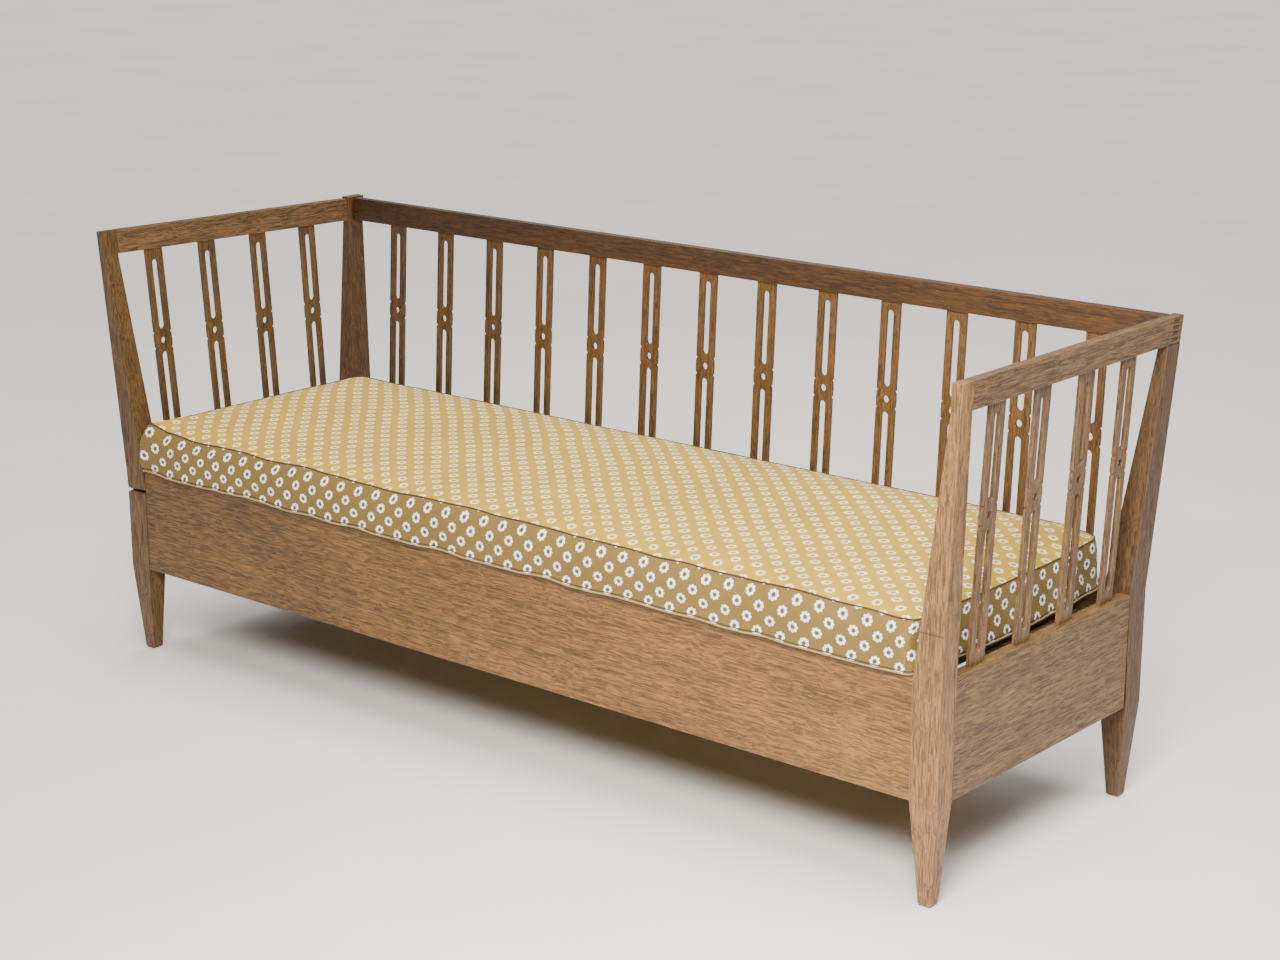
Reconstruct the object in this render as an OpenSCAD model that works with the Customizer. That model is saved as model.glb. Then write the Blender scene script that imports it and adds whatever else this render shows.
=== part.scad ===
// Oak daybed: four raked posts, deep aprons, an open gallery of pierced splats round three
// sides, a slatted deck, a loose mattress, and a left arm that folds outward on two hinges.
// Millimetres. +X to the right along the length, front at -Y, +Z up.
// The origin is on the floor, under the centre of the whole piece.

/* [Overall] */
// Length over the end aprons
frame_l = 1842; // [1700:2:2000]
// Depth over the front and back aprons
frame_d = 594; // [560:2:700]
// Height to the top of the rails
top_z = 803; // [740:1:860]

/* [Aprons] */
// Height of the aprons' lower edge above the floor
apron_z = 166; // [140:2:180]
// Height of the apron boards
apron_h = 192; // [170:2:210]
// Thickness of the apron boards
apron_t = 22; // [20:1:24]
// How far the apron faces stand back from the post faces
apron_inset = 1; // [1:0.5:3]

/* [Posts] */
// Width of a post across the front at the apron
post_w = 50; // [46:1:54]
// Depth of a front post at the apron
post_d = 42; // [38:1:46]
// Width of a post at its top
post_top_w = 19; // [18:1:22]
// Depth of a post at its top
post_top_d = 31; // [28:1:34]
// Extra depth of the back posts at the rails
back_post_extra = 13; // [5:1:25]
// Extra depth of the back posts at the aprons
back_foot_extra = 8; // [0:1:20]
// Width and depth of a foot
foot_w = 22; // [20:1:28]
// How far the outer faces draw in from the apron to the floor
foot_inset = 14; // [6:1:16]
// Chamfer round the foot
foot_chamfer = 3; // [1:0.5:5]

/* [Gallery] */
// Outward reach of the end posts' tops
end_reach = 18; // [10:1:30]
// Backward reach of the back posts' tops
back_reach = 40; // [20:1:50]
// Height of the top rails
rail_h = 44; // [40:1:55]
// Thickness of the top rails
rail_t = 19; // [18:1:22]
// Number of fingers where the back rail passes through the right arm's rail
fingers = 4; // [3:1:5]
// Number of splats in the back
back_splats = 13; // [13:13]
// Spacing of the back splats
back_pitch = 133; // [125:1:136]
// Number of splats in each arm
arm_splats = 4; // [4:4]
// Spacing of the arm splats
arm_pitch = 125; // [115:1:130]

/* [Splats] */
// Width of a splat
splat_w = 39; // [34:1:42]
// Thickness of a splat
splat_t = 7; // [6:0.5:12]
// Diameter of the ring between the two slots
ring_d = 40; // [36:1:44]
// Diameter of the hole in the ring
ring_hole_d = 13; // [8:0.5:15]
// Width of the slots
slot_w = 14.5; // [8:0.5:16]
// Size of the nicks beside the ring
nick = 4; // [2:0.5:5]

/* [Drop arm] */
// How far the hinge line lies below the top of the aprons
hinge_drop = 40; // [36:1:44]
// Outward lean of the arm's front post, in degrees
arm_lean = 4; // [0:0.5:5]
// Extra height of the arm's front end
arm_rise = 6; // [0:1:8]
// Clearance between fixed and folding wood
arm_gap = 4; // [2:0.5:5]

/* [Deck] */
// Number of deck slats
slats = 10; // [10:10]
// Width of a slat
slat_w = 75; // [60:5:90]
// Thickness of a slat
slat_t = 16; // [12:1:20]

/* [Mattress] */
// Thickness of the mattress at its edge
mattress_h = 92; // [70:1:110]
// Depth of the mattress, front to back
mattress_d = 567; // [500:1:570]

/* [Hidden] */
$fn = 48;
oak_colour = "#8a6238";
inner_oak_colour = "#6b4a2c";
metal_colour = "#5c4a33";
fabric_colour = "#c2a75f";

half_l = frame_l / 2;
half_d = frame_d / 2;
apron_top = apron_z + apron_h;
rail_z = top_z - rail_h;
rise = top_z - apron_top;
splat_h = rail_z - apron_top;
hinge_z = apron_top - hinge_drop;
hinge_inset = 3;
splat_lean = 0.8;
back_shift = 2.5;
arm_end_gap = 2;
hinge_x = half_l - hinge_inset;

// Inner edges of a post, seen from the front
post_in = half_l - post_w;
post_top_out = half_l + end_reach;
post_top_in = post_top_out - post_top_w;
foot_out = half_l - foot_inset;
foot_in = foot_out - foot_w;

// Depth lines of the posts, seen from the side
front_y = -half_d;
front_post_back = front_y + post_d;
front_top_back = front_y + post_top_d;
back_y = half_d;
back_top_y = back_y + back_reach;
back_post_front = back_y - post_d - back_foot_extra;
back_top_front = back_top_y - post_top_d - back_post_extra;
foot_front = front_y + foot_inset - 3;
back_foot_back = back_y - foot_inset + 5;

// Middle planes of the arm and back splats, from the apron top up to the rails
arm_foot_x = half_l - 14;
arm_rail_x = post_top_out - rail_t / 2 - 1;
arm_rake = atan((arm_rail_x - arm_foot_x) / (rise - rail_h / 2));
back_foot_y = back_y - apron_inset - splat_t / 2;
back_rail_y = back_foot_y + 22;
back_rake = atan((back_rail_y - back_foot_y) / (rise - rail_h / 2));

// Heights along a splat, above its foot
hole_h = splat_h * 0.575;
ring_half = 15;
slot_end = 15;
slot_ring_gap = 7;
slot_foot = 18;

// Front of the mattress, which laps a little over the front apron and posts
mattress_y = front_y - 8;

// The whole piece is centred on the origin with the leaning arm counted in
arm_top_reach = arm_reach(top_z + arm_rise, arm_lean, post_top_out);
centre_x = (arm_top_reach - post_top_out) / 2;
centre_y = -(back_top_y + mattress_y) / 2;
joint_gap = 0.2;
post_proud = 3;
big = 4000;

deck_top = apron_top - 1;
cleat_h = 30;
cleat_t = 24;
beam_h = 45;
beam_t = 40;
slat_end_gap = 3;
slat_span = 2 * (post_in - slat_end_gap - slat_w / 2) * slats / (slats - 1);
block_size = 45;
mattress_z = apron_top + 0.4;
mattress_half = post_in - 1.5;
mattress_bulge = 12;

leaf_t = 1.5;
leaf_w = 30;
front_leaf_l = 30;
rear_leaf_l = 16;
rear_hinge_y = 175;
barrel_d = 6;
barrel_w = leaf_w / 4;
pin_d = 3;
barrel_relief = 9;
latch_l = 46;
latch_w = 15;
latch_t = 3;
latch_pin_d = 4;
latch_standoff = 3.2;
latch_z = top_z - rail_h / 2;
latch_x = half_l + end_reach * (latch_z - apron_top) / rise;
latch_y = back_top_front + 14;
latch_tilt = atan(end_reach / rise);

function numbered(name, count) = [for (i = [1:count]) str(name, i)];

// Outward reach of a point of the drop arm once it has leant by an angle about the hinge line
function arm_reach(z, lean, x) =
    hinge_x + (x - hinge_x) * cos(lean) + (z - hinge_z) * sin(lean);
function arm_height(z, lean, x) =
    hinge_z + (z - hinge_z) * cos(lean) - (x - hinge_x) * sin(lean);

// The arm leans most at its front post and not at all where it meets the back post
function lean_at(y) = arm_lean * (back_top_front - y) / (back_top_front - front_y);

function arm_splat_y(i) = (i - (arm_splats + 1) / 2) * arm_pitch;
function back_splat_x(i) = (i - (back_splats + 1) / 2) * back_pitch + back_shift;
// Rear face of a back post above the aprons
function back_at(z) = back_y + back_reach * (z - apron_top) / rise;
function slat_x(i) = (i - (slats + 1) / 2) * slat_span / slats;

// ---- Shared helpers ----

module timber(colour = oak_colour) {
    translate([centre_x, centre_y, 0]) color(colour) children();
}

// Moves the children onto the left end by mirroring them
module on_left() {
    mirror([1, 0, 0]) children();
}

// Leans the children outward about the hinge line, for parts drawn on the right-hand side
module leaning(angle) {
    translate([hinge_x, 0, hinge_z]) rotate([0, angle, 0]) translate([-hinge_x, 0, -hinge_z])
        children();
}

// A front outline (X, Z) carried right through in Y, cut by a side outline (Y, Z)
module shaped_block(front_outline, side_outline) {
    intersection() {
        translate([0, big / 2, 0]) rotate([90, 0, 0]) linear_extrude(big) polygon(front_outline);
        translate([-big / 2, 0, 0]) rotate([90, 0, 90]) linear_extrude(big) polygon(side_outline);
    }
}

module below(z) {
    intersection() {
        children();
        translate([-big / 2, -big / 2, z - big]) cube(big);
    }
}

module above(z) {
    intersection() {
        children();
        translate([-big / 2, -big / 2, z]) cube(big);
    }
}

// ---- Posts ----

// Front outline of a right-hand post: tapered foot, knee at the apron, raked upper part
function post_front(top) = [
    [foot_in + foot_chamfer, 0], [foot_out - foot_chamfer, 0], [foot_out, foot_chamfer],
    [half_l, apron_z], [half_l, apron_top], [post_top_out, top], [post_top_in, top],
    [post_top_in, rail_z], [post_in, apron_top], [post_in, apron_z],
    [foot_in, foot_chamfer]];

function front_post_side(top) = [
    [foot_front + foot_chamfer, 0], [foot_front + foot_w - foot_chamfer, 0],
    [foot_front + foot_w, foot_chamfer], [front_post_back - 3, apron_z],
    [front_post_back, apron_top], [front_top_back, rail_z], [front_top_back, top],
    [front_y, top], [front_y, apron_z], [foot_front, foot_chamfer]];

function back_post_side(top) = [
    [back_foot_back - foot_w + foot_chamfer, 0], [back_foot_back - foot_chamfer, 0],
    [back_foot_back, foot_chamfer], [back_y, apron_z], [back_y, apron_top],
    [back_top_y, top], [back_top_front, top], [back_top_front, rail_z],
    [back_post_front, apron_top], [back_post_front + 6, apron_z],
    [back_foot_back - foot_w, foot_chamfer]];

module front_post(top = top_z) {
    shaped_block(post_front(top), front_post_side(top));
}

module back_post(top = top_z) {
    shaped_block(post_front(top), back_post_side(top));
}

module front_right_post() {
    timber() front_post();
}

// The right arm's rail runs over the top of this post
module back_right_post() {
    timber() below(rail_z) back_post();
}

// This post stands a little proud of the rails
module back_left_post() {
    timber() on_left() back_post(top_z + post_proud);
}

// Relief along the hinge line, so that the barrels sit inside the outer face
module barrel_groove() {
    translate([half_l, 0, hinge_z]) rotate([0, 45, 0])
        cube([barrel_relief, big, barrel_relief], center = true);
    translate([hinge_x, big / 2, hinge_z]) rotate([90, 0, 0])
        cylinder(d = barrel_d + 1.6, h = big);
}

// The lower part of the front left post, cut across just below the hinge line
module front_left_leg() {
    timber() on_left() difference() {
        below(hinge_z - arm_gap / 2) front_post();
        barrel_groove();
        fixed_leaf_beds();
    }
}

// ---- Aprons and deck ----

module long_apron(y, bottom, top) {
    translate([-post_in, y, bottom]) cube([2 * post_in, apron_t, top - bottom]);
}

module front_apron() {
    timber() long_apron(front_y + apron_inset, apron_z, apron_top);
}

module back_apron() {
    timber() long_apron(back_y - apron_inset - apron_t, apron_z, apron_top);
}

end_apron_front = front_post_back;
end_apron_back = back_post_front;

module end_apron(bottom, top) {
    translate([half_l - apron_inset - apron_t, end_apron_front, bottom])
        cube([apron_t, end_apron_back - end_apron_front, top - bottom]);
}

module right_apron() {
    timber() end_apron(apron_z, apron_top);
}

// The left apron stops at the hinge line and carries the rear hinge
module left_apron() {
    timber() on_left() difference() {
        end_apron(apron_z, hinge_z - arm_gap / 2);
        barrel_groove();
        fixed_leaf_beds();
    }
}

cleat_z = deck_top - slat_t - cleat_h;
cleat_front = front_y + apron_inset + apron_t;
cleat_half = post_in - 10;

module cleat(y) {
    timber(inner_oak_colour) translate([-cleat_half, y, cleat_z])
        cube([2 * cleat_half, cleat_t, cleat_h]);
}

module front_cleat() {
    cleat(cleat_front);
}

module back_cleat() {
    cleat(-cleat_front - cleat_t);
}

// Lengthwise beam under the middle of the slats, between the end aprons
module centre_beam() {
    beam_half = half_l - apron_inset - apron_t;
    timber(inner_oak_colour) translate([-beam_half, -beam_t / 2, deck_top - slat_t - beam_h])
        cube([2 * beam_half, beam_t, beam_h]);
}

// Glue blocks behind the posts, in the four inner corners
module corner_blocks() {
    block_x = post_in - block_size;
    timber(inner_oak_colour) for (side_x = [-1, 1], side_y = [-1, 1])
        scale([side_x, side_y, 1]) translate([block_x, -cleat_front - block_size, apron_z + 10])
            corner_block();
}

module corner_block() {
    linear_extrude(cleat_z - apron_z - 30)
        polygon([[0, block_size], [block_size, block_size], [block_size, 0]]);
}

module deck_slat(i) {
    slat_l = 2 * -cleat_front - 2 * slat_end_gap;
    timber(inner_oak_colour) translate([slat_x(i) - slat_w / 2, -slat_l / 2, deck_top - slat_t])
        cube([slat_w, slat_l, slat_t]);
}

// ---- Splats and rails ----

module slot(low, high) {
    translate([0, low + slot_w / 2]) circle(d = slot_w);
    translate([0, high - slot_w / 2]) circle(d = slot_w);
    translate([-slot_w / 2, low + slot_w / 2]) square([slot_w, high - low - slot_w]);
}

// Face of a splat, with its foot on the X axis: two slots and a nicked ring between them
module splat_face() {
    difference() {
        union() {
            translate([-splat_w / 2, -20]) square([splat_w, splat_h + 40]);
            translate([0, hole_h]) circle(d = ring_d);
        }
        translate([0, hole_h]) circle(d = ring_hole_d);
        slot(slot_foot, hole_h - ring_half - slot_ring_gap);
        slot(hole_h + ring_half + slot_ring_gap, splat_h - slot_end);
        for (side = [-1, 1], end = [-1, 1])
            translate([side * splat_w / 2, hole_h + end * ring_half]) rotate(45)
                square(nick, center = true);
    }
}

// Splat board standing on the origin, facing -Y, with its ends running on past its height
module splat_board() {
    translate([0, splat_t / 2, 0]) rotate([90, 0, 0]) linear_extrude(splat_t) splat_face();
}

module between_rails() {
    intersection() {
        children();
        translate([-big / 2, -big / 2, apron_top]) cube([big, big, splat_h]);
    }
}

module back_splat(i) {
    timber() between_rails() translate([back_splat_x(i), back_foot_y, apron_top])
        rotate([-back_rake, 0, 0]) splat_board();
}

module end_splat(y) {
    translate([arm_foot_x, y, apron_top]) rotate([0, arm_rake, 0]) rotate([0, 0, 90])
        splat_board();
}

module right_splat(i) {
    timber() between_rails() end_splat(arm_splat_y(i));
}

// Section of a raked rail, with level top and bottom edges, around its middle plane
module rail_section(rake, height) {
    shift = height / 2 * tan(rake);
    polygon([[-rail_t / 2 - shift, -height / 2], [rail_t / 2 - shift, -height / 2],
             [rail_t / 2 + shift, height / 2], [-rail_t / 2 + shift, height / 2]]);
}

// Back rail from the left post to the right, running on past the right arm's rail
module back_rail_run() {
    rail_half = post_top_in - joint_gap;
    translate([-rail_half, back_rail_y, top_z - rail_h / 2]) rotate([90, 0, 90])
        linear_extrude(2 * rail_half + 2 * rail_t) rail_section(back_rake, rail_h);
}

module right_rail_run(shift = 0) {
    translate([arm_rail_x + shift, big / 2, top_z - rail_h / 2]) rotate([90, 0, 0])
        linear_extrude(big) rail_section(arm_rake, rail_h);
}

// Level bands in which the back rail's fingers pass through the right arm's rail
module finger_bands(grow = 0) {
    pitch = rail_h / (2 * fingers + 1);
    for (i = [1:fingers])
        translate([0, -big / 2, rail_z + (2 * i - 1) * pitch - grow])
            cube([big, big, pitch + 2 * grow]);
}

module back_top_rail() {
    timber() difference() {
        back_rail_run();
        difference() {
            right_rail_run();
            finger_bands();
        }
        right_rail_run(rail_t);
        right_rail_run(2 * rail_t);
    }
}

// The right arm's rail runs over its back post, to the post's rear face
module right_arm_rail() {
    side = [[front_top_back + joint_gap, rail_z], [back_at(rail_z), rail_z],
            [back_top_y, top_z], [front_top_back + joint_gap, top_z]];
    timber() difference() {
        intersection() {
            right_rail_run();
            translate([-big / 2, 0, 0]) rotate([90, 0, 90]) linear_extrude(big) polygon(side);
        }
        intersection() {
            back_rail_run();
            finger_bands(0.05);
        }
    }
}

// ---- Drop arm, drawn on the right-hand side and mirrored to the left ----

module arm_front_post() {
    timber() on_left() leaning(lean_at(front_y)) difference() {
        above(hinge_z + arm_gap / 2) front_post(top_z + arm_rise);
        barrel_groove();
        arm_leaf_beds();
    }
}

arm_rear_y = back_top_front - arm_end_gap;
arm_rail_mid_z = top_z - rail_h / 2;
arm_rail_front_x = arm_reach(arm_rail_mid_z, lean_at(front_top_back), arm_rail_x);
arm_rail_rear_x = arm_reach(arm_rail_mid_z, lean_at(arm_rear_y), arm_rail_x);
arm_rail_front_z = arm_height(arm_rail_mid_z, lean_at(front_top_back), arm_rail_x) + arm_rise;
arm_rail_l = arm_rear_y - front_top_back;
arm_rail_swing = atan((arm_rail_front_x - arm_rail_rear_x) / arm_rail_l);
arm_rail_dip = atan((arm_rail_mid_z - arm_rail_front_z) / arm_rail_l);

// Rise of the arm's top rail above the level of the other rails
function rail_rise(y) = arm_rise * (arm_rear_y - y) / arm_rail_l;

// Top rail of the arm: it follows the leaning front post, so it runs slightly out of square
module arm_top_rail() {
    overlap = 20;
    timber() on_left() intersection() {
        translate([arm_rail_rear_x, arm_rear_y, arm_rail_mid_z])
            rotate([arm_rail_dip, lean_at(0), arm_rail_swing]) translate([0, overlap, 0])
            rotate([90, 0, 0]) linear_extrude(arm_rail_l + 2 * overlap)
            rail_section(arm_rake, rail_h);
        translate([0, front_top_back + joint_gap, 0])
            cube([big, arm_rail_l - 2 * joint_gap, big]);
    }
}

// Bottom rail of the arm, directly above the left apron
module arm_bottom_rail() {
    rail_bottom = hinge_z + arm_gap / 2;
    timber() on_left() intersection() {
        leaning(lean_at(0)) difference() {
            translate([half_l - apron_inset - apron_t, end_apron_front - post_d, rail_bottom])
                cube([apron_t, frame_d, apron_top - rail_bottom]);
            barrel_groove();
            arm_leaf_beds();
        }
        translate([0, end_apron_front + joint_gap, 0])
            cube([big, end_apron_back - end_apron_front - arm_end_gap, big]);
    }
}

// A splat of the arm, trimmed to the arm's own rails before it leans
module arm_splat(i) {
    y = arm_splat_y(i);
    trim = 0.8;
    timber() on_left() leaning(splat_lean * lean_at(y)) intersection() {
        end_splat(y);
        translate([0, -big / 2, apron_top + trim]) cube([big, big, splat_h + rail_rise(y) - 2 * trim]);
    }
}

// ---- Hinges ----

function hinge_rows() = [[front_y + 9, front_leaf_l], [rear_hinge_y, rear_leaf_l]];

// One hinge leaf lying on the level hinge line: a plate with its share of the barrel
module leaf(y, length, side, knuckles) {
    plate_z = side > 0 ? arm_gap / 2 - leaf_t / 2 : -arm_gap / 2 - leaf_t / 2;
    difference() {
        union() {
            translate([hinge_x - length, y, hinge_z + plate_z])
                cube([length, leaf_w, leaf_t]);
            for (k = knuckles) knuckle(y + k * barrel_w, barrel_d);
        }
        knuckle(y - 1, pin_d, leaf_w + 2);
        for (k = [0:3])
            if (len(search(k, knuckles)) == 0) knuckle(y + k * barrel_w, barrel_d + 0.8);
    }
}

module knuckle(y, diameter, length = barrel_w) {
    translate([hinge_x, y + length, hinge_z]) rotate([90, 0, 0])
        cylinder(d = diameter, h = length);
}

module hinge_leaves_fixed() {
    timber(metal_colour) on_left() for (row = hinge_rows()) leaf(row[0], row[1], -1, [0, 2]);
}

module hinge_leaves_arm() {
    timber(metal_colour) on_left() {
        leaning(lean_at(front_y)) leaf(hinge_rows()[0][0], hinge_rows()[0][1], 1, [1, 3]);
        leaning(lean_at(0)) leaf(hinge_rows()[1][0], hinge_rows()[1][1], 1, [1, 3]);
    }
}

module hinge_pins() {
    timber(metal_colour) on_left() for (row = hinge_rows())
        knuckle(row[0], pin_d - 0.1, leaf_w);
}

// Shallow beds that let the leaves into the wood
module leaf_beds(side) {
    bed_z = side > 0 ? 0 : -arm_gap;
    for (row = hinge_rows())
        translate([hinge_x - row[1] - joint_gap, row[0] - joint_gap, hinge_z + bed_z])
            cube([row[1] + 20, leaf_w + 2 * joint_gap, arm_gap]);
}

module fixed_leaf_beds() {
    leaf_beds(-1);
}

module arm_leaf_beds() {
    leaf_beds(1);
}

// ---- Turn button on the outer face of the back left post ----

// It hangs down at rest, and turns a quarter forward over the end of the arm's top rail
module on_post_face() {
    on_left() translate([latch_x, latch_y, latch_z]) rotate([0, 90 + latch_tilt, 0]) children();
}

module latch_plate() {
    reach = latch_l - latch_w;
    timber(metal_colour) on_post_face() translate([0, 0, latch_standoff]) difference() {
        union() {
            cylinder(d = latch_w, h = latch_t);
            translate([reach, 0, 0]) cylinder(d = latch_w, h = latch_t);
            translate([0, -latch_w / 2, 0]) cube([reach, latch_w, latch_t]);
        }
        translate([0, 0, -1]) cylinder(d = latch_pin_d + 0.3, h = latch_t + 2);
    }
}

module latch_screw() {
    head_z = latch_standoff + latch_t + 0.3;
    timber(metal_colour) on_post_face() {
        cylinder(d = 10, h = latch_standoff - 0.2);
        cylinder(d = latch_pin_d, h = head_z);
        translate([0, 0, head_z]) cylinder(d1 = 8, d2 = 6, h = 1.5);
    }
}

// ---- Mattress ----

mattress_back = mattress_y + mattress_d;
bulge_front = front_post_back + 3;
bulge_back = back_post_front - 3;

// Block with its right end bulging out between the two right-hand posts
module mattress() {
    timber(fabric_colour) translate([0, 0, mattress_z]) linear_extrude(mattress_h)
        polygon([[-mattress_half, mattress_y], [mattress_half, mattress_y],
                 [mattress_half, bulge_front],
                 [mattress_half + mattress_bulge, bulge_front + mattress_bulge],
                 [mattress_half + mattress_bulge, bulge_back - mattress_bulge],
                 [mattress_half, bulge_back], [mattress_half, mattress_back],
                 [-mattress_half, mattress_back]]);
}

front_left_leg();
front_right_post();
back_left_post();
back_right_post();
front_apron();
back_apron();
right_apron();
left_apron();
front_cleat();
back_cleat();
centre_beam();
corner_blocks();
back_top_rail();
right_arm_rail();
for (i = [1:back_splats])
    back_splat(i);
for (i = [1:arm_splats])
    right_splat(i);
for (i = [1:slats])
    deck_slat(i);
arm_front_post();
arm_top_rail();
arm_bottom_rail();
for (i = [1:arm_splats])
    arm_splat(i);
hinge_leaves_fixed();
hinge_leaves_arm();
hinge_pins();
latch_plate();
latch_screw();
mattress();
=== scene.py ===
"""An oak daybed with a pierced gallery, a drop arm and a loose mattress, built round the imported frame."""

import math

import bmesh
import bpy
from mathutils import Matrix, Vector, noise


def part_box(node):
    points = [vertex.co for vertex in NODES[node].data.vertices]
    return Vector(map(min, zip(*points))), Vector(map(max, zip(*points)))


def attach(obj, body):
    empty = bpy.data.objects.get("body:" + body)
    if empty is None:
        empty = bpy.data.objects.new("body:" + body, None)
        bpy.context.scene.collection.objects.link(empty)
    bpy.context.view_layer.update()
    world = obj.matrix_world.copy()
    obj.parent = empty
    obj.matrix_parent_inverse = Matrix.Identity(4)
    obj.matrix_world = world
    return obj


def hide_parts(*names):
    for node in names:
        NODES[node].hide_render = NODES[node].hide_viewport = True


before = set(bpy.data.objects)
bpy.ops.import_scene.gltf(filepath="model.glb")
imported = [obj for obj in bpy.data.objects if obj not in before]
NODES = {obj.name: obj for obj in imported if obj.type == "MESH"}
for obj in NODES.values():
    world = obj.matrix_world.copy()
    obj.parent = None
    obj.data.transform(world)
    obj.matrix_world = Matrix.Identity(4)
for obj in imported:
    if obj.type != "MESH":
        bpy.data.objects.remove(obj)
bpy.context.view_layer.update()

# ---- Camera, floor and light ----

CAMERA_AT = (2.740, -3.111, 1.574)
CAMERA_TURN = (74.57, 0.0, 40.234)
LENS = 68.82
SENSOR = 36.0

SKY_TINT = (0.95, 0.96, 1.0)
SKY_LIGHT, BACKDROP = 0.10, 0.80         # how strongly the world lights, and how pale it looks
KEY = {"place": (1.75, -2.25, 2.25), "target": (0.8, -0.3, 0.25), "size": (1.3, 1.0),
       "power": 70, "spread": 100, "colour": (1.0, 0.96, 0.90)}
FILL = {"place": (-1.8, 2.6, 2.7), "target": (-0.2, 0.3, 0.3), "size": (2.0, 1.5),
        "power": 15, "spread": 120, "colour": (1.0, 0.99, 0.97)}
CEILING = {"place": (0.12, 0.0, 1.0), "strength": 3.6, "spread": 50}

FLOOR_HALF = 30.0
FLOOR_TONES = ((236, 233, 228), (243, 240, 236))


def make_camera():
    data = bpy.data.cameras.new("camera")
    data.lens, data.sensor_width = LENS, SENSOR
    camera = bpy.data.objects.new("camera", data)
    camera.location = CAMERA_AT
    camera.rotation_euler = [math.radians(a) for a in CAMERA_TURN]
    bpy.context.scene.collection.objects.link(camera)
    bpy.context.scene.camera = camera


def add_light(name, place, target, size, power, spread, colour):
    """A soft box; a narrow spread keeps its light on its target."""
    data = bpy.data.lights.new(name, "AREA")
    data.spread = math.radians(spread)
    data.shape, data.size, data.size_y = "RECTANGLE", size[0], size[1]
    data.energy, data.color = power, colour
    lamp = bpy.data.objects.new(name, data)
    lamp.location = place
    lamp.rotation_euler = (Vector(target) - Vector(place)).to_track_quat("-Z", "Y").to_euler()
    bpy.context.scene.collection.objects.link(lamp)


def add_sky(name, place, strength, spread):
    """A broad, even light from one direction, as from a high ceiling."""
    data = bpy.data.lights.new(name, "SUN")
    data.energy, data.angle = strength, math.radians(spread)
    lamp = bpy.data.objects.new(name, data)
    lamp.rotation_euler = Vector(place).to_track_quat("Z", "Y").to_euler()
    bpy.context.scene.collection.objects.link(lamp)


def make_world(colour, strength, backdrop):
    """Dim light from all round, seen beyond the floor as a backdrop as pale as the floor."""
    world = bpy.data.worlds.new("studio")
    world.use_nodes = True
    tree = world.node_tree
    shade = tree.nodes["Background"]
    shade.inputs["Color"].default_value = (*colour, 1)
    seen = add(tree, "LightPath", out=0)
    feed(tree, shade.inputs["Strength"], maths(tree, "MULTIPLY_ADD", seen, backdrop - strength, strength))
    bpy.context.scene.world = world


# ---- Node helpers ----

def new_material(name):
    material = bpy.data.materials.new(name)
    material.use_nodes = True
    tree = material.node_tree
    return material, tree, tree.nodes["Principled BSDF"]


def feed(tree, socket, value):
    """Sets a socket to a constant, or links it where the value is another node's output."""
    if isinstance(value, bpy.types.NodeSocket):
        tree.links.new(value, socket)
    else:
        socket.default_value = value


def add(tree, kind, *values, out=0, **settings):
    """One node with its settings, its first inputs fed in order, and its output returned."""
    node = tree.nodes.new("ShaderNode" + kind)
    for key, value in settings.items():
        setattr(node, key, value)
    for socket, value in zip([s for s in node.inputs if s.enabled], values):
        feed(tree, socket, value)
    return node.outputs[out]


def maths(tree, operation, *values):
    return add(tree, "Math", *values, operation=operation)


def vector(tree, operation, *values, out=0):
    return add(tree, "VectorMath", *values, operation=operation, out=out)


def ramp(tree, value, stops):
    node = tree.nodes.new("ShaderNodeValToRGB")
    feed(tree, node.inputs[0], value)
    while len(node.color_ramp.elements) < len(stops):
        node.color_ramp.elements.new(1.0)
    for element, (place, colour) in zip(node.color_ramp.elements, stops):
        element.position = place
        element.color = (*colour, 1)
    return node.outputs["Color"]


def span(tree, value, low, high, to_low=0.0, to_high=1.0):
    """The value carried from one range to another, and held at its ends."""
    node = tree.nodes.new("ShaderNodeMapRange")
    for socket, v in zip(node.inputs, (value, low, high, to_low, to_high)):
        feed(tree, socket, v)
    return node.outputs[0]


def mix(tree, factor, a, b, blend="MIX"):
    node = tree.nodes.new("ShaderNodeMix")
    node.data_type, node.blend_type = "RGBA", blend
    node.clamp_factor = True
    for socket, value in zip([s for s in node.inputs if s.enabled], (factor, a, b)):
        if isinstance(value, tuple) and len(value) == 3:
            value = (*value, 1)
        feed(tree, socket, value)
    return [s for s in node.outputs if s.enabled][0]


def noise_of(tree, place, scale, detail, roughness):
    node = tree.nodes.new("ShaderNodeTexNoise")
    feed(tree, node.inputs["Vector"], place)
    node.inputs["Scale"].default_value = scale
    node.inputs["Detail"].default_value = detail
    node.inputs["Roughness"].default_value = roughness
    return node.outputs["Fac"]


def bump(tree, height, strength, distance):
    node = tree.nodes.new("ShaderNodeBump")
    node.inputs["Strength"].default_value = strength
    node.inputs["Distance"].default_value = distance
    feed(tree, node.inputs["Height"], height)
    return node.outputs["Normal"]


def axis_of(tree, value, axis):
    """One component of a vector: 0, 1 or 2 for X, Y or Z."""
    node = tree.nodes.new("ShaderNodeSeparateXYZ")
    feed(tree, node.inputs[0], value)
    return node.outputs[axis]


def linear(red, green, blue):
    """A colour given in display units, 0 to 255, as the shader's linear values."""
    return tuple(c / 255 / 12.92 if c <= 10.31 else ((c / 255 + 0.055) / 1.055) ** 2.4
                 for c in (red, green, blue))


# ---- Wood ----

GRAIN_TURN = {"X": (0, 0, 0), "Y": (0, 0, math.pi / 2), "Z": (0, math.pi / 2, 0)}
SEED_STEP = (1.37, 0.71, 2.13)          # keeps each board's grain clear of its neighbours'

# Noise frequencies per metre, along the grain and across it
DRIFT, WANDER = (20, 16, 16), 0.012     # slow waves that bend the grain, and how far they push it
RINGS, RING_SHARE = (3.0, 90, 90), 0.20
STREAKS = (22, 470, 470)
PORES = (60, 900, 900)
PATCHES = (2.5, 6, 6)

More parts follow.
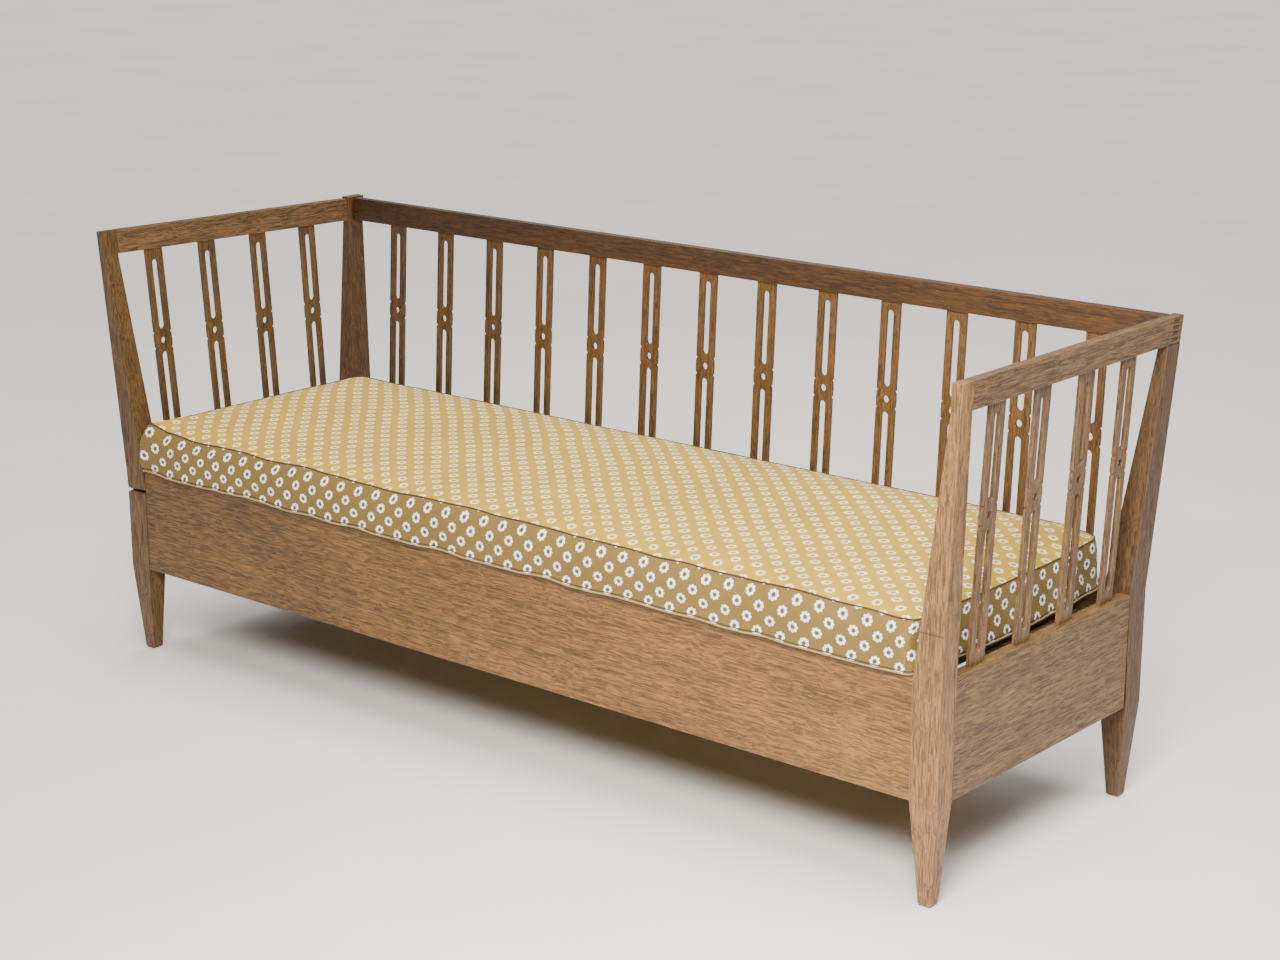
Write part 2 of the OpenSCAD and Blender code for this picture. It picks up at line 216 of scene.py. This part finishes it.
# Painted shade along the length, darker towards the left where the light falls off: where it starts and
# ends, and its tints from left to right
FALLOFF_SHADE_OVER = (-0.95, 0.75)
FALLOFF_SHADE_TINTS = [(0.0, (0.64, 0.63, 0.62)), (0.5, (0.86, 0.86, 0.86)), (1.0, (1.0, 1.0, 1.0))]

# Middle colours in display units, and each board's grain direction
OAK = (110, 80, 41)
OAK_POST = (124, 90, 52)
OAK_DARK = (98, 68, 32)
OAK_INNER = (90, 65, 38)
OAK_ROUGH = 0.56

# An eased edge is a little paler, smoother and plainer than its board; its paler tone is partly wear and
# partly a painted highlight
EDGE_LIFT, EDGE_ROUGH, EDGE_CONTRAST = 1.08, 0.46, 0.6
BOARD_EASE, SPLAT_EASE = 0.0014, 0.0008

# The hairline joint across a post's front face: its tone, half its width, and its height
JOINT_TONE = (58, 38, 20)
JOINT_HALF = 0.0008
JOINTS = {"front_right_post": 0.430}

BOARDS = {
    "front_apron": ("X", (118, 84, 40)), "back_apron": ("X", OAK),
    # right_apron's darker, greyer tone is painted shade for the right end, whose faces turn away from the
    # key light
    "right_apron": ("Y", (103, 76, 40)), "left_apron": ("Y", OAK),
    "front_left_leg": ("Z", OAK), "front_right_post": ("Z", OAK_POST),
    # back_right_post's darker tone is painted shade for the shadow the right arm's splats cast on it
    "back_left_post": ("Z", OAK_DARK), "back_right_post": ("Z", (80, 56, 30)),
    "arm_front_post": ("Z", OAK), "arm_top_rail": ("Y", (119, 89, 55)), "arm_bottom_rail": ("Y", OAK),
    # right_arm_rail's darker, greyer tone is painted shade for the right end, turned away from the key
    # light
    "right_arm_rail": ("Y", (102, 76, 45)), "back_top_rail": ("X", (74, 48, 21)),
    "front_cleat": ("X", OAK_INNER), "back_cleat": ("X", OAK_INNER),
    "centre_beam": ("X", OAK_INNER), "corner_blocks": ("Z", OAK_INNER),
}
# right_splat's darker, greyer tone is painted shade for the right end, turned away from the key light
SPLATS = {"back_splat": OAK_DARK, "right_splat": (104, 78, 50), "arm_splat": OAK}


def board_look(name):
    if name in BOARDS:
        return BOARDS[name]
    if name.startswith("deck_slat"):
        return "Y", OAK_INNER
    for part, tone in SPLATS.items():
        if name.startswith(part):
            return "Z", tone
    return None


def painted_falloff_shade(tree, place):
    """Painted shade for the light's falloff: the wood is palest at the right end and gets gently darker
    towards the left.
    """
    along = axis_of(tree, place, 0)
    return ramp(tree, span(tree, along, *FALLOFF_SHADE_OVER), FALLOFF_SHADE_TINTS)


def joint_line(tree, place, height):
    """A hairline joint across a post's front face, as a mask."""
    away = maths(tree, "ABSOLUTE", maths(tree, "SUBTRACT", axis_of(tree, place, 2), height))
    facing = axis_of(tree, add(tree, "TexCoord", out=1), 1)
    front = maths(tree, "LESS_THAN", facing, -0.7)
    return maths(tree, "MULTIPLY", maths(tree, "LESS_THAN", away, JOINT_HALF), front)


def oak(name, grain, tone, seed, rough=OAK_ROUGH, contrast=1.0, joint_z=None):
    """Open-grained oak. The grain runs along one axis; tone is its middle colour in display units."""
    material, tree, shader = new_material(name)
    place = add(tree, "TexCoord", out=3)
    turned = tree.nodes.new("ShaderNodeMapping")
    feed(tree, turned.inputs["Vector"], place)
    turned.inputs["Rotation"].default_value = GRAIN_TURN[grain]
    turned.inputs["Location"].default_value = [seed * step for step in SEED_STEP]
    along = turned.outputs[0]

    drift = noise_of(tree, vector(tree, "MULTIPLY", along, DRIFT), 1.0, 3, 0.5)
    wave = maths(tree, "MULTIPLY", maths(tree, "SUBTRACT", drift, 0.5), WANDER)
    wander = vector(tree, "ADD", along, add(tree, "CombineXYZ", 0.0, wave, wave))
    rings = noise_of(tree, vector(tree, "MULTIPLY", wander, RINGS), 1.0, 3, 0.55)
    streaks = noise_of(tree, vector(tree, "MULTIPLY", wander, STREAKS), 1.0, 3, 0.62)
    pores = noise_of(tree, vector(tree, "MULTIPLY", wander, PORES), 1.0, 2, 0.5)
    patches = noise_of(tree, vector(tree, "MULTIPLY", along, PATCHES), 1.0, 3, 0.5)

    grain_value = maths(tree, "ADD", maths(tree, "MULTIPLY", rings, RING_SHARE),
                        maths(tree, "MULTIPLY", streaks, 1 - RING_SHARE))
    r, g, b = tone
    low, high = 1 - 0.34 * contrast, 1 + 0.28 * contrast
    dark = linear(r * low, g * low * 0.97, b * low * 0.94)
    light = linear(min(r * high, 250), min(g * high, 245), min(b * high * 1.03, 240))
    colour = ramp(tree, grain_value, [(0.39, dark), (0.5, linear(r, g, b)), (0.61, light)])
    fleck = span(tree, pores, 0.60, 0.68, 0.0, 0.55 * contrast)
    colour = mix(tree, fleck, colour, linear(r * 0.52, g * 0.47, b * 0.42))
    shade = ramp(tree, patches, [(0.3, (0.84, 0.82, 0.80)), (0.7, (1.12, 1.12, 1.12))])
    colour = mix(tree, 1.0, colour, shade, "MULTIPLY")
    # painted shade: the wood darkens towards the left, standing in for the light falling off
    colour = mix(tree, 1.0, colour, painted_falloff_shade(tree, place), "MULTIPLY")
    if joint_z:
        colour = mix(tree, joint_line(tree, place, joint_z), colour, linear(*JOINT_TONE))
    feed(tree, shader.inputs["Base Color"], colour)
    gloss = span(tree, streaks, 0.3, 0.7, rough + 0.08, rough - 0.06)
    feed(tree, shader.inputs["Roughness"], gloss)
    relief = maths(tree, "SUBTRACT", streaks, maths(tree, "MULTIPLY", fleck, 0.8))
    feed(tree, shader.inputs["Normal"], bump(tree, relief, 0.5, 0.0006))
    return material


def soften_edges(node, width):
    """Eases a board's edges, and gives the eased strip the second material, paler partly for wear and
    partly as a painted highlight.
    """
    weld = node.modifiers.new("weld", "WELD")
    weld.merge_threshold = 1e-5
    flat = node.modifiers.new("flat", "DECIMATE")
    flat.decimate_type, flat.angle_limit = "DISSOLVE", math.radians(1)
    ease = node.modifiers.new("ease", "BEVEL")
    ease.width, ease.segments, ease.limit_method = width, 2, "ANGLE"
    ease.angle_limit, ease.material = math.radians(35), 1
    even = node.modifiers.new("even", "WEIGHTED_NORMAL")
    even.keep_sharp = True


def finish_boards():
    for count, name in enumerate(sorted(NODES)):
        look = board_look(name)
        if look is None:
            continue
        grain, tone = look
        node = NODES[name]
        node.data.materials.clear()
        node.data.materials.append(oak("oak_" + name, grain, tone, count, joint_z=JOINTS.get(name)))
        # the edge tone is paler partly for wear and partly as a painted highlight along the edge
        worn_and_highlit = tuple(min(c * EDGE_LIFT, 235) for c in tone)
        node.data.materials.append(oak("oak_edge_" + name, grain, worn_and_highlit, count, EDGE_ROUGH, EDGE_CONTRAST))
        soften_edges(node, SPLAT_EASE if "splat" in name else BOARD_EASE)


# ---- Metal ----

def aged_metal(name, tone, rough):
    material, tree, shader = new_material(name)
    place = add(tree, "TexCoord", out=3)
    stain = noise_of(tree, place, 180, 5, 0.6)
    grit = noise_of(tree, place, 1400, 2, 0.5)
    dark = linear(*(c * 0.45 for c in tone))
    feed(tree, shader.inputs["Base Color"], ramp(tree, stain, [(0.35, dark), (0.6, linear(*tone))]))
    feed(tree, shader.inputs["Roughness"], span(tree, stain, 0.3, 0.7, rough + 0.15, rough))
    feed(tree, shader.inputs["Normal"], bump(tree, grit, 0.25, 0.0003))
    shader.inputs["Metallic"].default_value = 1.0
    return material


def finish_metal():
    brass = aged_metal("aged_brass", (150, 118, 70), 0.42)
    steel = aged_metal("dark_steel", (92, 88, 84), 0.45)
    for name in ("hinge_leaves_fixed", "hinge_leaves_arm", "hinge_pins"):
        NODES[name].data.materials.clear()
        NODES[name].data.materials.append(brass)
    for name in ("latch_plate", "latch_screw"):
        NODES[name].data.materials.clear()
        NODES[name].data.materials.append(steel)


# ---- Mattress ----

PAD_LOW, PAD_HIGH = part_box("mattress")
BULGE = 0.012           # how far the right end swells out between the posts, over BULGE_RUN
BULGE_RUN, BULGE_HALF = 0.12, 0.205
LAP = 0.0125            # the front left corner laps this far over its post's face
LAP_DEPTH = 0.0078      # the part of the front that stands out past the posts' faces
END_EASE = 0.05         # the lap and the left corner's rise die away over this length
PAD_LEFT, PAD_RIGHT = PAD_LOW.x, PAD_HIGH.x - BULGE
PAD_FRONT, PAD_BACK = PAD_LOW.y, PAD_HIGH.y
PAD_BASE = PAD_LOW.z
CORNERS = {(-1, -1): 0.009, (1, -1): 0.020, (-1, 1): 0.030, (1, 1): 0.030}
CELL = 0.0145
NEAR_SEAM = (0.0, 0.003, 0.007, 0.013)   # closer rows beside each seam
TOP_INSET = 0.022       # the top seam lies this far in from the outline along the front
BACK_SHARE, END_SHARE = 0.15, 0.25       # the same inset as a share, at the back and the ends
FRONT_SEAM, BACK_SEAM, RIGHT_SEAM = 0.0790, 0.0935, 0.0840   # seam heights above the deck
CROWN, CROWN_RIPPLE = 0.0010, 0.003
SEAM_WAVE, SEAM_SWAY = 0.0040, 0.0045    # the front top seam's unevenness, up and out
HEM_WAVE = 0.010                         # the bottom hem's unevenness
BASE_GAP, BASE_INSET = 0.0006, 0.004     # the underside's clearance over the deck, and its inset

PRESSURE, STEPS, CAP = 4.0, 20, 0.006    # the cloth simulation's filling, frames and farthest move
TUBE_SIDES = 8                           # round the welt and the stitch lines

# Flowered cloth: sizes are shares of the spacing of the flowers along a row
REPEAT = 0.0432
PETALS = 8
RIM, SCALLOP = 0.170, 0.052              # the flower's edge, and how far its petals stand out
EYE, HALO = 0.092, 0.024                 # the ring's inner edge, and the outline's width
HEART = (0.105, 0.085)                   # the heart fades out from one reach to the other
SOFT, RAGGED = 0.012, 0.05               # the softness and the raggedness of the woven edges
STRAY = 0.010                            # how far rows wander, in metres
THREADS, WEAVE = (260, 1500, 1), 5200.0  # the frequencies of the threads' tones and of the weave
CLOTH_ROUGH, RING_ROUGH = 0.72, 0.57
# The top and the sides are one cloth, in a paler copy for the lit top and a darker copy for the sides: the
# difference is painted light and shade.
LIT_TOP_CLOTH = {"ground": (194, 155, 30), "petal": (255, 240, 184), "heart": (178, 142, 44),
             "outline": (160, 126, 34), "phase": (0.064, -0.2784)}
SHADED_SIDE_CLOTH = {"ground": (124, 99, 38), "petal": (255, 255, 253), "heart": (98, 76, 42),
              "outline": (58, 42, 24), "phase": (0.0048, 0.0117)}
# the second tone is the dark of the painted shade lines along the seams
WELT_TONE, SEAM_SHADE_TONE = (176, 147, 88), (70, 52, 30)

# Boxing from the bottom seam to the top seam: how far in from the outline, and the share of the height
BOXING = ((0.0020, 0.020), (0.0012, 0.065), (0.0003, 0.12), (0.0, 0.22), (0.0, 0.36),
          (0.0, 0.48), (0.0008, 0.58), (0.0028, 0.68), (0.0064, 0.785), (0.0112, 0.875),
          (0.0166, 0.95), (TOP_INSET, 1.0))


def ripple(x, y, seed, length):
    """Smooth noise, about -0.5 to 0.5, that repeats exactly from run to run."""
    return noise.noise(Vector((x / length, y / length, seed)))


def step_up(value, low, high):
    share = min(max((value - low) / (high - low), 0.0), 1.0)
    return share * share * (3 - 2 * share)


def seam_height(x, y):
    """Height of the top above the deck: it falls towards the front and the right end."""
    share = min(max((y - PAD_FRONT) / (PAD_BACK - PAD_FRONT), 0.0), 1.0)
    high = BACK_SEAM + (RIGHT_SEAM - BACK_SEAM) * step_up(x, PAD_RIGHT - 0.10, PAD_RIGHT)
    rise = max(1 - (1 - share) ** 2.6, step_up(PAD_LEFT + 0.055 - x, 0.0, END_EASE))
    return FRONT_SEAM + (high - FRONT_SEAM) * rise


def rounded(u, v, inset):
    """The point u, v (each -1 to 1) of a rectangle with rounded corners, drawn in by inset."""
    left, right = PAD_LEFT + END_SHARE * inset, PAD_RIGHT - END_SHARE * inset
    front, back = PAD_FRONT + inset, PAD_BACK - BACK_SHARE * inset
    half_x, half_y = (right - left) / 2, (back - front) / 2
    x, y = u * half_x, v * half_y
    depth = min(half_x - abs(x), half_y - abs(y))
    corner = CORNERS[(-1 if u < 0 else 1, -1 if v < 0 else 1)]
    radius = max(corner - depth, 0.0)
    cx, cy = half_x - depth - radius, half_y - depth - radius
    dx, dy = abs(x) - cx, abs(y) - cy
    if radius > 0 and dx > 0 and dy > 0:
        reach = math.hypot(dx, dy)
        x = math.copysign(cx + dx * radius / reach, x)
        y = math.copysign(cy + dy * radius / reach, y)
    return (left + right) / 2 + x, (front + back) / 2 + y


def swell(x, y):
    """The right end's bulge between its posts, and the front left corner's lap over its post."""
    if y < PAD_FRONT + LAP_DEPTH:
        return x - LAP * step_up(PAD_LEFT + END_EASE - x, 0.0, END_EASE)
    middle = (PAD_FRONT + PAD_BACK) / 2
    across = min(abs(y - middle) / BULGE_HALF, 1.0)
    along = max(x - PAD_RIGHT + BULGE_RUN, 0.0) / BULGE_RUN
    return x + (BULGE - 0.001) * along * (1 - across ** 4)


def crown_at(x, y):
    """Height of the top panel above the line of its seams."""
    edge_x = min(x - PAD_LEFT, PAD_RIGHT - x) - END_SHARE * TOP_INSET
    back = PAD_BACK - y - BACK_SHARE * TOP_INSET
    front = y - PAD_FRONT - TOP_INSET
    rise = step_up(edge_x, 0.0, 0.05) * step_up(back, 0.0, 0.04) * step_up(front, 0.0, 0.06)
    return CROWN * rise + CROWN_RIPPLE * rise * ripple(x, y, 3.1, 0.15)


def seam_wave(x, y):
    """How far the top seam strays up or down where the cover is loose."""
    return SEAM_WAVE * ripple(x, y, 7.7, 0.07)


def spaced(length):
    """Places from -1 to 1, evenly spread but closer together beside both ends."""
    *near, last = NEAR_SEAM
    count = round((length - 2 * last) / CELL)
    even = [last + (length - 2 * last) * k / count for k in range(count + 1)]
    places = near + even + [length - n for n in reversed(near)]
    return [2 * p / length - 1 for p in places]


def pad_mesh():
    """The mattress cover as one closed mesh, with its seams' vertices and its flat pattern."""
    bm = bmesh.new()
    layer = bm.loops.layers.uv.new("cloth")
    grid_u, grid_v = spaced(PAD_RIGHT - PAD_LEFT), spaced(PAD_BACK - PAD_FRONT)
    nu, nv = len(grid_u) - 1, len(grid_v) - 1

    def panel(inset, top):
        rows = []
        for i, u in enumerate(grid_u):
            row = []
            for j, v in enumerate(grid_v):
                x, y = rounded(u, v, inset)
                if not top:
                    row.append(bm.verts.new((swell(x, y), y, PAD_BASE + BASE_GAP)))
                    continue
                loose = 1 - step_up(y - PAD_FRONT - inset, 0.0, END_EASE)
                z = PAD_BASE + seam_height(x, y) + crown_at(x, y) + loose * seam_wave(x, y)
                y += SEAM_SWAY * loose * ripple(x, y, 1.3, 0.065)
                row.append(bm.verts.new((swell(x, y - inset), y, z)))
            rows.append(row)
        return rows

    top, base = panel(TOP_INSET, True), panel(BASE_INSET, False)
    rim = [(i, 0) for i in range(nu)] + [(nu, j) for j in range(nv)]
    rim += [(i, nv) for i in range(nu, 0, -1)] + [(0, j) for j in range(nv, 0, -1)]

    def quad(corners, spots, slot):
        face = bm.faces.new(corners)
        face.smooth, face.material_index = True, slot
        for loop, spot in zip(face.loops, spots):
            loop[layer].uv = spot

    for rows, slot, flip in ((top, 0, False), (base, 0, True)):
        for i in range(nu):
            for j in range(nv):
                corners = [rows[i][j], rows[i + 1][j], rows[i + 1][j + 1], rows[i][j + 1]]
                if flip:
                    corners.reverse()
                quad(corners, [(c.co.x, c.co.y) for c in corners], slot)

    rings, lengths = [[base[i][j] for i, j in rim]], [0.0]
    for inset, share in BOXING[:-1]:
        ring = []
        for i, j in rim:
            x, y = rounded(grid_u[i], grid_v[j], inset)
            hem = HEM_WAVE * max(ripple(x, y, 5.5, 0.09), -0.05) * (1 - step_up(share, 0.0, 0.4))
            z = PAD_BASE + 0.001 + share * (seam_height(x, y) + crown_at(x, y)) + hem
            z += share * share * seam_wave(x, y)
            lapped = swell(x, y - inset if y < PAD_FRONT + 0.03 else y)
            lap_share = step_up(share, 0.0, 0.25) if lapped < x else 1.0
            ring.append(bm.verts.new((x + (lapped - x) * lap_share, y, z)))
        rings.append(ring)
    rings.append([top[i][j] for i, j in rim])
    count = len(rim)
    for low, high in zip(rings, rings[1:]):
        lengths.append(lengths[-1] + sum((a.co - b.co).length for a, b in zip(low, high)) / count)
    outline = [rounded(grid_u[i], grid_v[j], 0.0) for i, j in rim]
    around = [outline[0][0]]
    for k in range(count):
        around.append(around[-1] + math.dist(outline[k], outline[(k + 1) % count]))
    for r in range(len(rings) - 1):
        for k in range(count):
            n = (k + 1) % count
            quad([rings[r][k], rings[r][n], rings[r + 1][n], rings[r + 1][k]],
                 [(around[k], lengths[r]), (around[k + 1], lengths[r]),
                  (around[k + 1], lengths[r + 1]), (around[k], lengths[r + 1])], 1)
    bm.verts.index_update()
    # the ring just above the bottom seam carries a painted shade line
    seams = {"top": [v.index for v in rings[-1]], "bottom": [v.index for v in rings[1]],
             "above_bottom_seam": [v.index for v in rings[2]]}
    fixed = [v.index for row in base for v in row] + seams["bottom"]
    bm.normal_update()
    mesh = bpy.data.meshes.new("mattress_cover")
    bm.to_mesh(mesh)
    bm.free()
    return mesh, seams, fixed


def inflate(piece, fixed):
    """Fills the cover by cloth simulation; no vertex ends up further than CAP from its start."""
    start = [v.co.copy() for v in piece.data.vertices]
    pins = piece.vertex_groups.new(name="pins")
    pins.add(fixed, 1.0, "REPLACE")
    cloth = piece.modifiers.new("cloth", "CLOTH")
    settings = cloth.settings
    settings.quality = 5
    settings.mass = 0.25
    settings.tension_stiffness = settings.compression_stiffness = 25
    settings.shear_stiffness, settings.bending_stiffness = 12, 2.0
    settings.use_pressure, settings.uniform_pressure_force = True, PRESSURE
    settings.effector_weights.gravity = 0
    settings.vertex_group_mass = "pins"
    scene = bpy.context.scene
    for count in range(1, STEPS + 1):
        scene.frame_set(count)
    view = bpy.context.evaluated_depsgraph_get()
    result = piece.evaluated_get(view).data
    moved = [v.co.copy() for v in result.vertices]
    piece.modifiers.remove(cloth)
    piece.vertex_groups.remove(pins)
    scene.frame_set(1)
    for vertex, a, b in zip(piece.data.vertices, start, moved):
        step = b - a
        if step.length > CAP:
            step *= CAP / step.length
        vertex.co = a + step
        vertex.co.z = max(vertex.co.z, PAD_BASE)


def smooth_piece(piece):
    sub = piece.modifiers.new("smooth", "SUBSURF")
    sub.levels = sub.render_levels = 1


def add_piece(name, mesh, body, slot, *materials):
    piece = bpy.data.objects.new(name, mesh)
    bpy.context.scene.collection.objects.link(piece)
    for material in materials:
        mesh.materials.append(material)
    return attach(piece, body)


def seam_line(piece, indices):
    """The finished cover's points and normals along one of its seams."""
    view = bpy.context.evaluated_depsgraph_get()
    shape = piece.evaluated_get(view).data
    points = [shape.vertices[i].co.copy() for i in indices]
    normals = [shape.vertices[i].normal.copy() for i in indices]
    return points, normals


def closed_tube(name, centres, ups, radius):
    """A closed tube along the points; ups point away from the cover and keep it from twisting."""
    bm = bmesh.new()
    layer = bm.loops.layers.uv.new("cloth")
    count, sides = len(centres), TUBE_SIDES
    rings, run = [], [0.0]
    for k in range(count):
        ahead = (centres[(k + 1) % count] - centres[k - 1]).normalized()
        up = (ups[k] - ahead * ups[k].dot(ahead)).normalized()
        side = ahead.cross(up)
        rings.append([bm.verts.new(centres[k] + radius * (math.cos(a) * side + math.sin(a) * up))
                      for a in (2 * math.pi * s / sides for s in range(sides))])
        run.append(run[-1] + (centres[(k + 1) % count] - centres[k]).length)
    for k in range(count):
        for s in range(sides):
            t, n = (s + 1) % sides, (k + 1) % count
            face = bm.faces.new([rings[k][s], rings[n][s], rings[n][t], rings[k][t]])
            face.smooth = True
            spots = ((run[k], s), (run[k + 1], s), (run[k + 1], s + 1), (run[k], s + 1))
            for loop, (along, turn) in zip(face.loops, spots):
                loop[layer].uv = (along, turn / sides)
    bm.normal_update()
    bmesh.ops.recalc_face_normals(bm, faces=bm.faces)
    mesh = bpy.data.meshes.new(name)
    bm.to_mesh(mesh)
    bm.free()
    return mesh


def nearest_flower(tree, flat, place, phase):
    """The way from the nearest flower's centre, and its length, in shares of the spacing."""
    drift_u = maths(tree, "SUBTRACT", noise_of(tree, place, 9, 2, 0.5), 0.5)
    moved = vector(tree, "ADD", place, (3.3, 1.7, 5.1))
    drift_v = maths(tree, "SUBTRACT", noise_of(tree, moved, 9, 2, 0.5), 0.5)
    drift = vector(tree, "SCALE", add(tree, "CombineXYZ", drift_u, drift_v, 0.0), STRAY)
    spot = vector(tree, "ADD", vector(tree, "SUBTRACT", flat, (*phase, 0)), drift)
    spot = vector(tree, "SCALE", spot, 1 / REPEAT)
    half, flat_only = (0.5, 0.5, 0.0), (1.0, 1.0, 0.0)
    ways, reaches = [], []
    for start in (vector(tree, "ADD", spot, half), spot):
        way = vector(tree, "SUBTRACT", vector(tree, "FRACTION", start), half)
        ways.append(vector(tree, "MULTIPLY", way, flat_only))
        reaches.append(vector(tree, "LENGTH", ways[-1], out=1))
    nearer = maths(tree, "LESS_THAN", reaches[1], reaches[0])
    return mix(tree, nearer, *ways), maths(tree, "MINIMUM", *reaches)


def flower_masks(tree, near, reach, place):
    """Masks of the petals' ring, of the dark outline round it, and of the heart inside it."""
    angle = maths(tree, "ARCTAN2", axis_of(tree, near, 1), axis_of(tree, near, 0))
    turns = maths(tree, "MULTIPLY", angle, PETALS / 2)
    scallop = maths(tree, "ABSOLUTE", maths(tree, "COSINE", turns))
    grit = maths(tree, "SUBTRACT", noise_of(tree, place, 700, 2, 0.6), 0.5)
    reach = maths(tree, "ADD", reach, maths(tree, "MULTIPLY", grit, RAGGED))
    rim = maths(tree, "ADD", maths(tree, "MULTIPLY", scallop, SCALLOP), RIM)
    inside = span(tree, maths(tree, "SUBTRACT", rim, reach), -SOFT, SOFT)
    ring = maths(tree, "MULTIPLY", inside, span(tree, reach, EYE - SOFT, EYE + SOFT))
    outer = maths(tree, "ADD", rim, HALO)
    halo = span(tree, maths(tree, "SUBTRACT", outer, reach), -SOFT, SOFT)
    return ring, halo, span(tree, reach, *HEART)


def weave_relief(tree, flat, ring):
    """The height of the plain weave, with the woven rings standing on it."""
    waves = [maths(tree, "SINE", maths(tree, "MULTIPLY", axis_of(tree, flat, k), WEAVE)) for k in (0, 1)]
    weave = maths(tree, "MULTIPLY", *waves)
    return maths(tree, "ADD", maths(tree, "MULTIPLY", weave, 0.35), ring)


def cloth_material(name, ground, petal, heart, outline, phase):
    """Mustard cloth with woven flower rings on a centred lattice, drawn from the flat pattern."""
    material, tree, shader = new_material(name)
    flat = add(tree, "UVMap", out=0, uv_map="cloth")
    place = add(tree, "TexCoord", out=3)
    near, reach = nearest_flower(tree, flat, place, phase)
    ring, halo, centre = flower_masks(tree, near, reach, place)

    cloud = noise_of(tree, place, 7, 4, 0.6)
    shade = ramp(tree, cloud, [(0.3, (0.90, 0.89, 0.87)), (0.7, (1.06, 1.06, 1.06))])
    thread = noise_of(tree, vector(tree, "MULTIPLY", flat, THREADS), 1.0, 2, 0.5)
    dark = linear(*(c * 0.82 for c in ground))
    colour = mix(tree, maths(tree, "MULTIPLY", thread, 0.25), linear(*ground), dark)
    colour = mix(tree, maths(tree, "MULTIPLY", halo, 0.55), colour, linear(*outline))
    colour = mix(tree, centre, colour, linear(*heart))
    colour = mix(tree, ring, colour, linear(*petal))
    colour = mix(tree, 1.0, colour, shade, "MULTIPLY")
    feed(tree, shader.inputs["Base Color"], colour)
    feed(tree, shader.inputs["Roughness"], span(tree, ring, 0.0, 1.0, CLOTH_ROUGH, RING_ROUGH))
    shader.inputs["Sheen Weight"].default_value = 0.12
    shader.inputs["Sheen Roughness"].default_value = 0.45
    feed(tree, shader.inputs["Normal"], bump(tree, weave_relief(tree, flat, ring), 0.35, 0.0004))
    return material


def plain_cloth(name, ground, rough):
    material, tree, shader = new_material(name)
    place = add(tree, "TexCoord", out=3)
    cloud = noise_of(tree, place, 40, 3, 0.6)
    dark = linear(*(c * 0.86 for c in ground))
    feed(tree, shader.inputs["Base Color"], ramp(tree, cloud, [(0.35, dark), (0.65, linear(*ground))]))
    shader.inputs["Roughness"].default_value = rough
    shader.inputs["Sheen Weight"].default_value = 0.1
    feed(tree, shader.inputs["Normal"], bump(tree, noise_of(tree, place, 1500, 2, 0.5), 0.4, 0.0003))
    return material


def make_mattress():
    mesh, seams, fixed = pad_mesh()
    # one cloth in two copies: paler as painted light for the top, darker as painted shade for the sides
    lit_top_cloth = cloth_material("flowered_cloth_lit_top", **LIT_TOP_CLOTH)
    shaded_side_cloth = cloth_material("flowered_cloth_shaded_side", **SHADED_SIDE_CLOTH)
    piece = add_piece("mattress_cover", mesh, "mattress", "mattress_cloth", lit_top_cloth, shaded_side_cloth)
    inflate(piece, fixed)
    smooth_piece(piece)
    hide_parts("mattress")
    welt = plain_cloth("welt_cloth", WELT_TONE, 0.7)
    # dark cloth for the painted shade lines at the seams and the painted shadow under the welt
    seam_shade = plain_cloth("seam_shadow", SEAM_SHADE_TONE, 0.9)
    for name, seam, radius, lift, drop, cloth in (      # lift is outward from the cover, drop is down
            ("welt_bottom", "bottom", 0.0014, 0.0006, 0.0, welt),
            # painted shadow: a dark tube under the bottom welt, where the cushion's overhang shades the
            # apron
            ("shadow_strip_bottom", "bottom", 0.0018, -0.0002, 0.0024, seam_shade),
            # painted shade: dark lines in the creases above the bottom welt and along the top seam
            ("shade_line_bottom", "above_bottom_seam", 0.0009, 0.0, 0.0, seam_shade),
            ("shade_line_top", "top", 0.0015, 0.0004, 0.0, seam_shade)):
        points, normals = seam_line(piece, seams[seam])
        centres = [p + n * lift - Vector((0, 0, drop)) for p, n in zip(points, normals)]
        tube = closed_tube(name, centres, normals, radius)
        add_piece(name, tube, "mattress", "mattress_cloth", cloth)


def make_floor():
    mesh = bpy.data.meshes.new("floor")
    half = FLOOR_HALF
    mesh.from_pydata([(-half, -half, 0), (half, -half, 0), (half, half, 0), (-half, half, 0)],
                     [], [(0, 1, 2, 3)])
    floor = bpy.data.objects.new("floor", mesh)
    bpy.context.scene.collection.objects.link(floor)
    material, tree, shader = new_material("pale_floor")
    place = add(tree, "TexCoord", out=3)
    cloud = noise_of(tree, place, 1.5, 3, 0.5)
    low, high = (linear(*tone) for tone in FLOOR_TONES)
    feed(tree, shader.inputs["Base Color"], ramp(tree, cloud, [(0.3, low), (0.7, high)]))
    shader.inputs["Roughness"].default_value = 0.65
    mesh.materials.append(material)


make_camera()
make_world(SKY_TINT, SKY_LIGHT, BACKDROP)
add_light("key", **KEY)
add_light("fill", **FILL)
add_sky("ceiling", **CEILING)
make_floor()
finish_boards()
finish_metal()
make_mattress()
